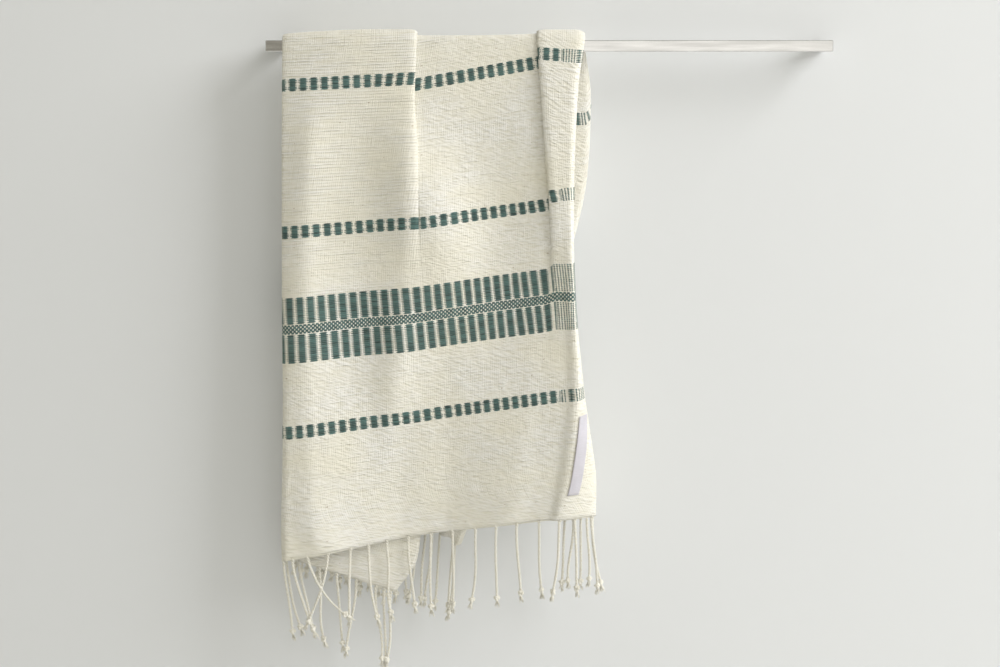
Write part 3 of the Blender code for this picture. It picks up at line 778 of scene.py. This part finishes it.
class Finish:
    """A material with its Principled shader, and the steps that its nodes are made of."""

    def __init__(self, name, **values):
        self.material = bpy.data.materials.new(name)
        self.material.use_nodes = True
        self.tree = self.material.node_tree
        self.shader = self.tree.nodes["Principled BSDF"]
        for socket, value in values.items():
            self.shader.inputs[socket.replace("_", " ")].default_value = value

    def put(self, value, socket):
        """Link a socket, or set a number or a colour."""
        if isinstance(value, bpy.types.NodeSocket):
            self.tree.links.new(value, socket)
        else:
            socket.default_value = value

    def add(self, kind, **values):
        """A new node of a kind, with some of its settings or inputs given by name."""
        node = self.tree.nodes.new("ShaderNode" + kind)
        for name, value in values.items():
            if hasattr(node, name):
                setattr(node, name, value)
            else:
                self.put(value, node.inputs[name.replace("_", " ")])
        return node

    def work(self, operation, *values):
        """A Math node on sockets or numbers, as its output."""
        node = self.add("Math", operation=operation)
        for socket, value in zip(node.inputs, values):
            self.put(value, socket)
        return node.outputs[0]

    def product(self, *values):
        """Two sockets or numbers multiplied, or a third added to them."""
        return self.work("MULTIPLY_ADD" if len(values) == 3 else "MULTIPLY", *values)

    def mix(self, share, first, second):
        """A colour Mix node of sockets or plain colours, as its output."""
        node = self.add("Mix", data_type="RGBA")
        for index, value in ((0, share), (6, first), (7, second)):
            self.put((*value, 1.0) if isinstance(value, tuple) else value, node.inputs[index])
        return node.outputs[2]

    def grain(self, place, grain):
        """Noise stretched by a different scale along each way."""
        stretched = self.add("Mapping", Scale=grain.scale, Vector=place).outputs["Vector"]
        return self.add("TexNoise", Scale=1.0, Detail=grain.detail, Vector=stretched).outputs["Fac"]

    def spread(self, value, low, high, to_low=0.0, to_high=1.0):
        """A value stretched so that low to high becomes 0 to 1 or what is given, and cut off there."""
        return self.add("MapRange", Value=value, From_Min=low, From_Max=high, To_Min=to_low,
                        To_Max=to_high).outputs["Result"]

    def place(self):
        """Places on the piece itself."""
        return self.add("TexCoord").outputs["Object"]

    def done(self, colour, height=None, depth=0.0, strength=0.0):
        """The material, with its colour and, where it has a height, its relief in millimetres."""
        self.put(colour, self.shader.inputs["Base Color"])
        if height is not None:
            bump = self.add("Bump", Distance=depth * MM, Strength=strength, Height=height)
            self.put(bump.outputs["Normal"], self.shader.inputs["Normal"])
        return self.material


def stripe_masks(cotton, phase, u, v):
    """Where the dyed weft of the blocks and of the dotted line runs, under and behind the floats."""
    work, product = cotton.work, cotton.product
    from_hem = work("MINIMUM", v, work("SUBTRACT", TOWEL_LENGTH * MM, v))
    rows = 0.0
    for stripe in STRIPES:
        here = work("COMPARE", from_hem, stripe.middle * MM, stripe.half * MM)
        rows = work("MAXIMUM", rows, here)
    middle = STRIPES[BAND].middle * MM
    rows = work("SUBTRACT", rows, work("COMPARE", from_hem, middle, BAND_INNER * MM))
    block = work("COMPARE", work("FRACT", phase), BLOCK_SHARE / 2, BLOCK_SHARE / 2 - BLOCK_CORE)
    across = work("COSINE", product(u, 2 * math.pi / (SPECKLE_PITCH * MM), SPECKLE_MASK_SHIFT))
    along = work("COSINE", product(work("SUBTRACT", from_hem, middle), math.pi / (SPECKLE_STEP * MM)))
    dots = product(cotton.spread(product(across, along), *SPECKLE_MASK), -SPECKLE_DEPTH, SPECKLE_DEPTH)
    speckle = work("COMPARE", from_hem, middle, SPECKLE_HALF * MM)
    return product(rows, block), product(speckle, dots)


def cotton_finish(settings):
    """Hand-woven slubby cotton, worked out on the cloth's own distances."""
    cotton = Finish("cotton weave", Roughness=0.92, Sheen_Weight=0.1, Sheen_Roughness=0.6,
                    Specular_IOR_Level=0.2)
    work, product, spread = cotton.work, cotton.product, cotton.spread
    place = cotton.add("UVMap", uv_map="weave").outputs["UV"]
    u, v, _ = cotton.add("SeparateXYZ", Vector=place).outputs
    blocks = cotton.add("UVMap", uv_map="blocks").outputs["UV"]
    phase = cotton.add("SeparateXYZ", Vector=blocks).outputs[0]
    slub, streak, warp, cloudy, thick, fleck = (
        cotton.grain(place, grain) for grain in (SLUB, STREAK, WARP, CLOUDY, THICK, FLECK))

    sway = product(slub, RIB_SWAY, product(u, RIB_SLANT))
    rib = work("SINE", product(v, 2 * math.pi / (RIB_PITCH * MM), sway))
    rib = product(product(rib, 0.5, 0.5), spread(thick, 0.25, 0.7))
    slanted = cotton.add("CombineXYZ", X=product(v, -CRINKLE_SLANT, u), Y=product(u, CRINKLE_SLANT, v))
    crinkle = cotton.grain(slanted.outputs[0], CRINKLE)
    where = work("SUBTRACT", 1.0, spread(v, *CRINKLED_UP_TO))
    where = work("MAXIMUM", where, spread(u, *CRINKLED_FROM))
    crinkle = product(spread(crinkle, 0.32, 0.68), where)
    rib = product(crinkle, CRINKLE_HEIGHT, product(rib, product(where, CRINKLED_RIB, 1.0)))
    thread = product(work("SINE", product(u, 2 * math.pi / (THREAD_PITCH * MM))), 0.5, 0.5)
    height = product(rib, RIB_HEIGHT, product(slub, SLUB_HEIGHT))
    for part, share in ((warp, WARP_HEIGHT), (thread, THREAD_HEIGHT), (streak, STREAK_HEIGHT)):
        height = product(part, share, height)

    cream, teal = tuple(settings.cream), tuple(settings.teal)
    dyed, speckle = stripe_masks(cotton, phase, u, v)
    # Painted shading: the colour goes from cream to the darker shading colour where the weave's height is
    # low, between its ribs and threads.
    colour = cotton.mix(spread(height, 0.75, 1.6), tuple(settings.painted_shade), cream)
    for share, over in ((product(spread(cloudy, 0.38, 0.66), 0.8), tinted(cream, *WARM_TINT)),
                        (product(spread(fleck, 0.83, 0.86), 0.6), FLECK_COLOUR),
                        (product(dyed, DYE_SHARE), teal), (speckle, teal)):
        colour = cotton.mix(share, colour, over)
    return cotton.done(colour, height, 1.1, 0.9)


def teal_finish(settings):
    """Soft dyed weft, a little different from float to float."""
    weft = Finish("teal weft", Roughness=0.85, Sheen_Weight=0.15, Sheen_Roughness=0.5,
                  Specular_IOR_Level=0.25)
    tone = weft.add("Attribute", attribute_name="tone").outputs["Fac"]
    fibre = weft.grain(weft.place(), WEFT_FIBRE)
    share = weft.product(fibre, 0.5, weft.product(tone, 0.6))
    colour = weft.mix(weft.spread(share, 0.2, 0.95), tinted(settings.teal, 0.5), tinted(settings.teal, 1.6))
    return weft.done(colour, fibre, 0.25, 0.7)


def yarn_finish(settings):
    """Twisted cream yarn, with painted shading in its valleys where its fibre noise is low."""
    yarn = Finish("fringe yarn", Roughness=0.9, Sheen_Weight=0.2, Sheen_Roughness=0.5,
                  Specular_IOR_Level=0.2)
    fibre = yarn.grain(yarn.place(), YARN_FIBRE)
    colour = yarn.mix(yarn.spread(fibre, 0.3, 0.7), tuple(settings.painted_shade), tinted(settings.cream, 1.02))
    return yarn.done(colour, fibre, 0.3, 0.7)


def tape_finish(settings):
    """Fine satin tape with close ribs."""
    tape = Finish("label tape", Roughness=0.55, Sheen_Weight=0.2, Sheen_Roughness=0.4)
    place = tape.place()
    rib = tape.grain(place, TAPE_RIB)
    share = tape.product(rib, 0.4, tape.product(tape.grain(place, TAPE_CLOUD), 0.6))
    colour = tape.mix(tape.spread(share, 0.3, 0.7), tinted(settings.tape, 0.86), tuple(settings.tape))
    return tape.done(colour, rib, 0.15, 0.6)


def chrome_finish():
    """Polished chrome with a faint uneven wipe."""
    chrome = Finish("chrome", Roughness=0.1, Metallic=1.0)
    wipe = chrome.grain(chrome.place(), WIPE)
    chrome.put(chrome.spread(wipe, 0.0, 1.0, 0.05, 0.2), chrome.shader.inputs["Roughness"])
    return chrome.done(chrome.mix(chrome.spread(wipe, 0.35, 0.7), CHROME_DARK, CHROME_LIGHT))


def build_cloth(cloth, settings):
    """The draped sheet: a grid laid onto the worked-out surface and given its thickness."""
    rows, columns = cloth.v.shape
    shape = bmesh.new()
    bmesh.ops.create_grid(shape, x_segments=columns - 1, y_segments=rows - 1, size=1.0)
    weave = shape.loops.layers.uv.new("weave")
    blocks = shape.loops.layers.uv.new("blocks")
    phases = cloth.phases()
    at = {}
    for corner in shape.verts:
        column = round((corner.co.x + 1.0) / 2 * (columns - 1))
        row = round((corner.co.y + 1.0) / 2 * (rows - 1))
        at[corner] = (row, column)
    for corner, (row, column) in at.items():
        corner.co = cloth.points[row, column]
    for face in shape.faces:
        for loop in face.loops:
            row, column = at[loop.vert]
            loop[weave].uv = (cloth.u[row, column], cloth.v[row, column])
            loop[blocks].uv = (phases[row, column], 0.0)
    mesh = finished_mesh("towel_cloth", shape)
    sheet = add_object("towel_cloth", mesh, cotton_finish(settings))
    thicken(sheet, settings.thickness)
    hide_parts("towel")
    return sheet


def float_spans(stripe, share, draws):
    """Where the floats of one dyed weft start and end across the cloth, before the warp's lean."""
    centres, blocks = BLOCK_STOPS
    spans = []
    for number in range(int(blocks[-1])):
        low, high = np.interp((number, number + BLOCK_SHARE), blocks, centres)
        if low < EDGE_MARGIN or high > TOWEL_WIDTH - EDGE_MARGIN:
            continue
        if high > stripe.dash_from - STRIP_MARGIN and low < stripe.strip_to + STRIP_MARGIN:
            continue
        middle, half = (low + high) / 2, (high - low) / 2 * share + FLOAT_OVER
        spans.append((middle - half + draws.uniform(-FLOAT_UNEVEN, FLOAT_UNEVEN),
                      middle + half + draws.uniform(-FLOAT_UNEVEN, FLOAT_UNEVEN)))
    for low, high in ((stripe.dash_from, stripe.dash_to), (stripe.strip_from, stripe.strip_to)):
        for number in range(round((high - low) / DASH_PITCH)):
            start = low + number * DASH_PITCH
            spans.append((start, start + DASH_WIDTH + draws.uniform(-FLOAT_UNEVEN, FLOAT_UNEVEN)))
    if stripe.strip_from - stripe.dash_to > LONE_GAP:
        spans.append((stripe.dash_to + LONE_START, stripe.strip_from - LONE_END))
    return spans


def float_lines(draws):
    """Every dyed weft: its stripe, its distance from the stripe's middle, and its spans."""
    lines = []
    for index, stripe in enumerate(STRIPES):
        for side in (-1.0, 1.0):
            for offset, share in stripe.rows:
                lines.append((index, side * offset, float_spans(stripe, share, draws)))
    for step in range(-SPECKLE_ROWS, SPECKLE_ROWS + 1):
        spans = []
        for number in range(int(TOWEL_WIDTH / SPECKLE_PITCH)):
            if draws.random() < SPECKLE_MISSED:
                continue
            middle = (number + SPECKLE_STARTS[step % 2]) * SPECKLE_PITCH
            half = SPECKLE_LENGTH / 2 + draws.uniform(*SPECKLE_UNEVEN)
            spans.append((middle - half, middle + half))
        lines.append((BAND, step * SPECKLE_STEP, spans))
    return lines


def lens_faces(rings):
    """Faces of a float made of rings of four points, closed at both ends."""
    faces = []
    for low in range(0, 4 * (rings - 1), 4):
        for corner in range(4):
            after = (corner + 1) % 4
            faces.append((low + corner, low + 4 + corner, low + 4 + after, low + after))
    last = 4 * (rings - 1)
    return [*faces, (0, 1, 2, 3), (last + 3, last + 2, last + 1, last)]


def build_floats(name, cloth, lines, behind, settings, draws, finish):
    """Lens-shaped floats of dyed weft lying on the cloth, joined into one mesh."""
    floats = Bundle()
    tones = []
    surface = settings.thickness / 2
    half = settings.float_width / 2
    faces = {stations: lens_faces(len(stations)) for stations in (LENS, SHORT_LENS)}
    for index, offset, spans in lines:
        distance = cloth.from_hem(STRIPES[index].middle + offset, behind)
        line, out, across = cloth.line(distance)
        above, _, _ = cloth.line(distance + RISE_STEP * MM)
        lean_at, lean = cloth.warp_leans[behind][index]
        leaning = np.interp(across / MM, lean_at, lean) * offset
        upright = np.maximum.accumulate(across / MM + leaning)
        table = np.concatenate([line, out, unit(above - line)], axis=1)
        for start, end in spans:
            stations = LENS if end - start > LONG_FLOAT else SHORT_LENS
            places = []
            for share in stations:
                values = read_off(start + (end - start) * share, upright, table)
                base, away, up = values[:3], values[3:6], values[6:]
                swell = math.sin(math.pi * min(max(share, LENS_ENDS[0]), LENS_ENDS[1])) ** LENS_POWER
                middle = base + away * surface
                places += [middle - up * half * swell, middle + away * settings.float_height * swell,
                           middle + up * half * swell, middle - away * FLOAT_SUNK * MM]
            tones += [draws.random()] * len(places)
            floats.keep(places, faces[stations])
    return add_object(name, facing_out(floats.mesh(name, tones)), finish)


def cord_paths(cloth, groups, behind, settings):
    """The middle line of every cord of one fringe, from just inside the hem to its tip."""
    edge, inside = (cloth.points[-1], cloth.points[-2]) if behind else (cloth.points[0], cloth.points[1])
    along, down = passed_along(edge), unit(edge - inside)
    outward = 1.0 if behind else -1.0
    lengths = random.Random(CORD_SEED)
    draws = random.Random(SEED + behind)
    share = np.linspace(0.0, 1.0, PATH_POINTS)
    paths = []
    for group in groups:
        start = along[MARKS[AT[group.first]] * cloth.fineness]
        end = along[MARKS[AT[group.last]] * cloth.fineness]
        for share_in, lean, step_out in zip(group.shares, group.leans, group.outs):
            stop = start + (end - start) * share_in
            root, fall = read_off(stop, along, edge), read_off(stop, along, down)
            length = settings.cord_length / MM + lengths.uniform(-LENGTH_SPREAD, LENGTH_SPREAD)
            drop = math.sqrt(max(length ** 2 - lean ** 2, 1.0))
            bow, phase = draws.uniform(*BOW), draws.uniform(0.0, 2 * math.pi)
            sway, side = (
                size * np.sin(share * draws.uniform(*turns) + start_phase) * share ** BOW_GROWTH
                for size, turns, start_phase in ((bow, SWAYS[0], phase),
                                                 (bow * SIDE_BOW, SWAYS[1], phase * SIDE_PHASE)))
            path = np.stack([lean * share ** LEAN_GROWTH + sway,
                             outward * step_out * np.sin(math.pi * share) + side,
                             -drop * share], axis=1) * MM
            lower = root + fall * BACKING_START * MM + path
            paths.append(np.vstack([root - fall * CORD_INSIDE * MM, lower]))
    return paths


def ring_faces(count, sides, closed=False):
    """Faces between each ring of points and the next, and back to the first of a closed row."""
    faces = []
    for index in range(count if closed else count - 1):
        low, high = index * sides, (index + 1) % count * sides
        for corner in range(sides):
            after = (corner + 1) % sides
            faces.append((low + corner, low + after, high + after, high + corner))
    return faces


def tube(path, radius, sides):
    """A closed tube of level rings along a path, its radius one number or one a ring."""
    turn = np.linspace(0.0, 2 * math.pi, sides, endpoint=False)
    ring = np.stack([np.cos(turn), np.sin(turn), np.zeros(sides)], axis=1)
    radius = np.broadcast_to(radius, len(path))
    places = (path[:, None, :] + ring[None] * radius[:, None, None]).reshape(-1, 3)
    last = (len(path) - 1) * sides
    ends = [tuple(range(sides))[::-1], tuple(range(last, last + sides))]
    return places, ring_faces(len(path), sides) + ends


def round_tube(path, radius, sides):
    """A closed loop's tube, whose rings stand square to it."""
    ahead = unit(np.roll(path, -1, axis=0) - np.roll(path, 1, axis=0))
    side = unit(np.cross(ahead, path - path.mean(axis=0)))
    other = np.cross(ahead, side)
    turn = np.linspace(0.0, 2 * math.pi, sides, endpoint=False)
    places = (path[:, None, :] + radius * (np.cos(turn)[None, :, None] * side[:, None, :]
                                          + np.sin(turn)[None, :, None] * other[:, None, :]))
    return places.reshape(-1, 3), ring_faces(len(path), sides, True)


def trefoil(tilt):
    """The line of an overhand knot about its own middle, turned by an angle."""
    turn = np.linspace(0.0, 2 * math.pi, KNOT_POINTS, endpoint=False)
    loop = np.stack([np.sin(turn) + 2 * np.sin(2 * turn), np.cos(turn) - 2 * np.cos(2 * turn),
                     -1.5 * np.sin(3 * turn)], axis=1) * KNOT_SIZE * MM
    x, z, y = loop.T
    return np.stack([x * math.cos(tilt) - y * math.sin(tilt),
                     y * math.cos(tilt) + x * math.sin(tilt), z], axis=1)


def build_fringe(name, cloth, groups, behind, settings, finish):
    """Two-ply cords, each ending in a knot and a frayed tuft, joined into one mesh."""
    draws = random.Random(SEED + CORD_DRAWS + behind)
    cords = Bundle()
    radius = settings.ply_radius
    hair_share = np.linspace(0.0, 1.0, HAIR_POINTS)[:, None]
    for path in cord_paths(cloth, groups, behind, settings):
        knot = int(KNOT_SHARE * (len(path) - 1))
        stretch = path[:knot + 1]
        along = passed_along(stretch)
        fine = np.linspace(0.0, along[-1], PLY_POINTS)
        centre = read_off(fine, along, stretch)
        twist = 2 * math.pi * fine / settings.twist_pitch + draws.uniform(0.0, 2 * math.pi)
        apart = radius * PLY_APART * (1.0 + GATHER * np.exp(-fine / (GATHER_LENGTH * MM)))
        for ply in (0.0, math.pi):
            offset = np.stack([np.cos(twist + ply), np.sin(twist + ply), np.zeros(len(fine))], axis=1)
            middle = centre + offset * apart[:, None]
            cords.keep(*tube(middle[::-1], radius * draws.uniform(*PLY_UNEVEN), PLY_SIDES))
        loop = path[knot] + trefoil(draws.uniform(0.0, 2 * math.pi))
        cords.keep(*round_tube(loop, KNOT_RADIUS * MM, PLY_SIDES))
        below = path[-1] - path[knot]
        for _ in range(HAIRS):
            splay = np.array([draws.uniform(-1, 1), draws.uniform(-1, 1), 0.0]) * HAIR_SPLAY * MM
            reach = below * draws.uniform(*HAIR_REACH)
            hair = path[knot] + reach * hair_share + splay * hair_share ** HAIR_CURL
            radii = np.linspace(*HAIR_RADII, HAIR_POINTS) * MM
            cords.keep(*tube(hair[::-1], radii, HAIR_SIDES))
    return add_object(name, facing_out(cords.mesh(name)), finish)


def label_place(line, out, across, ridge_u, share):
    """A point on the label, at a share of its width from the ridge's side, and the way out there."""
    u = ridge_u + (LABEL_FROM_RIDGE + LABEL_WIDTH * share) * MM
    return read_off(u, across, line), unit(read_off(u, across, out))


def build_label(cloth, settings):
    """A bare tape sewn along its ends to the turned-back strip."""
    shape = bmesh.new()
    bmesh.ops.create_grid(shape, x_segments=LABEL_COLUMNS, y_segments=LABEL_ROWS, size=1.0)
    ridge = MARKS[AT["ridge"]] * cloth.fineness
    lines = []
    for row in range(LABEL_ROWS + 1):
        line, out, across = cloth.line((LABEL_LOW + (LABEL_HIGH - LABEL_LOW) * row / LABEL_ROWS) * MM)
        lines.append((line, out, across, across[ridge]))
    surface = settings.thickness / 2 + LABEL_STAND * MM
    for corner in shape.verts:
        share, height = (corner.co.x + 1.0) / 2, (corner.co.y + 1.0) / 2
        base, away = label_place(*lines[round(height * LABEL_ROWS)], share)
        loose = LABEL_LOOSE * math.sin(math.pi * height) ** 2
        loose *= LABEL_HELD + (1.0 - LABEL_HELD) * share
        corner.co = Vector(base + away * (surface + loose * MM))
    tape = add_object("label_tape", finished_mesh("label_tape", shape), tape_finish(settings))
    thicken(tape, LABEL_THICK * MM)
    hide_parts("label")
    stitches = Bundle()
    share = np.linspace(0.0, 1.0, 5)[:, None]
    for row in (1, LABEL_ROWS - 1):
        for number in range(STITCHES):
            from_share = STITCH_FROM + STITCH_PITCH * number
            start, away = label_place(*lines[row], from_share)
            end, _ = label_place(*lines[row], from_share + STITCH_LENGTH)
            lift = away * (surface + STITCH_LIFT * MM)
            rise = away * STITCH_RISE * MM * np.sin(math.pi * share)
            stitches.keep(*tube(start + lift + (end - start) * share + rise, STITCH_RADIUS * MM, 4))
    add_object("label_stitches", stitches.mesh("label_stitches"), yarn_finish(settings))
    return tape


class TOWEL_OT_cloth(bpy.types.Operator):
    """Hang the towel, weave its stripes, tie its fringes and sew on its label"""

    bl_idname = "towel.cloth"
    bl_label = "Towel"

    def execute(self, context):
        settings = context.scene.towel
        cloth = Cloth(settings.fineness)
        sheet = build_cloth(cloth, settings)
        draws = random.Random(SEED)
        lines = float_lines(draws)
        teal = teal_finish(settings)
        yarn = yarn_finish(settings)
        on_it = [
            build_floats("stripes_front", cloth, lines, False, settings, draws, teal),
            build_floats("stripes_back", cloth, lines, True, settings, draws, teal),
            build_label(cloth, settings),
        ]
        for name, node, groups, behind in (("cords_front", "fringe_front", FRONT_CORDS, False),
                                           ("cords_back", "fringe_back", BACK_CORDS, True)):
            cords = build_fringe(name, cloth, groups, behind, settings, yarn)
            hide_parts(node)
            on_it.append(cords)
        on_it.append(bpy.data.objects["label_stitches"])
        return {"FINISHED"}


class TOWEL_OT_handle(bpy.types.Operator):
    """Give the bar handle its chrome"""

    bl_idname = "towel.handle"
    bl_label = "Bar handle"

    def execute(self, context):
        chrome = chrome_finish()
        for name in ("bar", "leg_left", "leg_right"):
            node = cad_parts[name]
            for slot in node.material_slots:
                slot.material = chrome
        return {"FINISHED"}


def add_plane(name, corners, finish):
    """One flat face of the stage."""
    shape = bmesh.new()
    shape.faces.new([shape.verts.new(corner) for corner in corners])
    mesh = finished_mesh(name, shape)
    mesh.materials.append(finish)
    made = bpy.data.objects.new(name, mesh)
    bpy.context.scene.collection.objects.link(made)
    return made


def add_area_light(light):
    """A soft square light that looks at its target."""
    data = bpy.data.lights.new(light.name, "AREA")
    data.size = light.size
    data.energy = light.power
    data.color = light.colour
    lamp = bpy.data.objects.new(light.name, data)
    lamp.location = light.place
    aim = Vector(light.target) - Vector(light.place)
    lamp.rotation_euler = aim.to_track_quat("-Z", "Y").to_euler()
    bpy.context.scene.collection.objects.link(lamp)


def paint_finish(name, colour, one_sided):
    """Plain pale paint, clear from behind where it would hide the towel's back."""
    paint = Finish(name, Roughness=0.6, Base_Color=(*colour, 1.0))
    if one_sided:
        mix = paint.add("MixShader")
        for socket, value in zip(mix.inputs, (paint.add("NewGeometry").outputs["Backfacing"],
                                              paint.shader.outputs[0],
                                              paint.add("BsdfTransparent").outputs[0])):
            paint.put(value, socket)
        paint.put(mix.outputs[0], paint.tree.nodes["Material Output"].inputs["Surface"])
    return paint.material


class TOWEL_OT_stage(bpy.types.Operator):
    """Set the camera, the soft light and the plain pale stage"""

    bl_idname = "towel.stage"
    bl_label = "Stage"

    def execute(self, context):
        door = add_plane("wall", [(x, WALL_AT, z) for x, z in (
            (-WALL_HALF, FLOOR_AT), (WALL_HALF, FLOOR_AT), (WALL_HALF, WALL_TOP), (-WALL_HALF, WALL_TOP))],
            paint_finish("wall paint", WALL_PAINT, True))
        # The light behind it reaches the towel's back
        door.visible_shadow = False
        add_plane("floor", [(x * FLOOR_HALF, y * FLOOR_HALF, FLOOR_AT) for x, y in (
            (-1, -1), (1, -1), (1, 1), (-1, 1))], paint_finish("floor paint", FLOOR_PAINT, False))
        for light in LIGHTS:
            add_area_light(light)
        world = bpy.data.worlds.new("room")
        world.use_nodes = True
        back = world.node_tree.nodes["Background"]
        back.inputs["Color"].default_value = (*ROOM_COLOUR, 1.0)
        back.inputs["Strength"].default_value = ROOM_STRENGTH
        context.scene.world = world
        context.scene.view_settings.view_transform = "Standard"
        data = bpy.data.cameras.new("camera")
        data.lens = CAMERA_LENS
        data.shift_y = CAMERA_SHIFT
        camera = bpy.data.objects.new("camera", data)
        camera.location = CAMERA_AT
        camera.rotation_euler = (math.pi / 2 - CAMERA_DOWN, 0.0, 0.0)
        context.scene.collection.objects.link(camera)
        context.scene.camera = camera
        return {"FINISHED"}


class TOWEL_PT_panel(bpy.types.Panel):
    """The towel's steps and settings"""

    bl_idname = "TOWEL_PT_panel"
    bl_label = "Towel"
    bl_space_type = "VIEW_3D"
    bl_region_type = "UI"
    bl_category = "Towel"

    def draw(self, context):
        settings = context.scene.towel
        for name in TowelSettings.__annotations__:
            self.layout.prop(settings, name)
        for step in STEPS:
            self.layout.operator(step.bl_idname)


STEPS = (TOWEL_OT_cloth, TOWEL_OT_handle, TOWEL_OT_stage)
CLASSES = (TowelSettings, *STEPS, TOWEL_PT_panel)


def register():
    """Make the settings, the steps and the panel known"""
    for made in CLASSES:
        bpy.utils.register_class(made)
    bpy.types.Scene.towel = PointerProperty(type=TowelSettings)


def unregister():
    """Take them away again"""
    del bpy.types.Scene.towel
    for made in reversed(CLASSES):
        bpy.utils.unregister_class(made)


def main():
    """Build everything in order"""
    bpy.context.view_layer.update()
    register()
    bpy.ops.towel.stage()
    bpy.ops.towel.cloth()
    bpy.ops.towel.handle()


if __name__ == "__main__":
    main()
